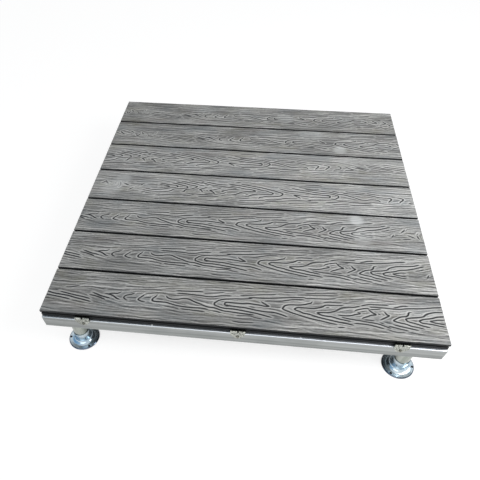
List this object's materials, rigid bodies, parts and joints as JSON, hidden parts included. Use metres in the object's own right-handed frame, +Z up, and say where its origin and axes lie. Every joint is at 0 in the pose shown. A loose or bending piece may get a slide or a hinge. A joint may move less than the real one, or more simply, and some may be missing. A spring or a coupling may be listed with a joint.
{
  "type": "raised deck panel",
  "caption": "Square walk-on deck panel: grooved composite boards clipped to a box-tube frame that stands on short posts with bell-shaped screw-down feet.",
  "frame": {"origin": "on the floor under the centre of the panel", "axes": "+X along the boards from left to right, +Y from the front edge to the rear edge, +Z up"},
  "size_m": [1, 1.039, 0.15],
  "materials": {
    "board": "grey wood-plastic composite, deeply embossed wood grain on top, charcoal in the grooves",
    "frame_metal": "satin silver box tube",
    "post_metal": "satin round tube",
    "foot_metal": "mirror polished",
    "clip_metal": "bright folded sheet, slightly warm",
    "screw_metal": "plated"
  },
  "bodies": {
    "root": {"deck_board_1": "board", "deck_board_2": "board", "deck_board_3": "board", "deck_board_4": "board", "deck_board_5": "board", "deck_board_6": "board", "deck_board_7": "board", "front_rail": "frame_metal", "rear_rail": "frame_metal", "joist_left": "frame_metal", "joist_middle": "frame_metal", "joist_right": "frame_metal", "end_cap_front_left": "frame_metal", "leg_post_front_left": "post_metal", "flange_foot_front_left": "foot_metal", "end_cap_front_right": "frame_metal", "leg_post_front_right": "post_metal", "flange_foot_front_right": "foot_metal", "edge_clip_front_left": "clip_metal", "edge_clip_front_middle": "clip_metal", "edge_clip_front_right": "clip_metal", "end_cap_rear_left": "frame_metal", "leg_post_rear_left": "post_metal", "flange_foot_rear_left": "foot_metal", "end_cap_rear_right": "frame_metal", "leg_post_rear_right": "post_metal", "flange_foot_rear_right": "foot_metal", "edge_clip_rear_left": "clip_metal", "edge_clip_rear_middle": "clip_metal", "edge_clip_rear_right": "clip_metal", "gap_clips_1": "clip_metal", "gap_clips_2": "clip_metal", "gap_clips_3": "clip_metal", "gap_clips_4": "clip_metal", "gap_clips_5": "clip_metal", "gap_clips_6": "clip_metal", "edge_clip_screws": "screw_metal", "gap_clip_screws": "screw_metal", "front_strip_screws": "screw_metal"}
  },
  "joints": []
}
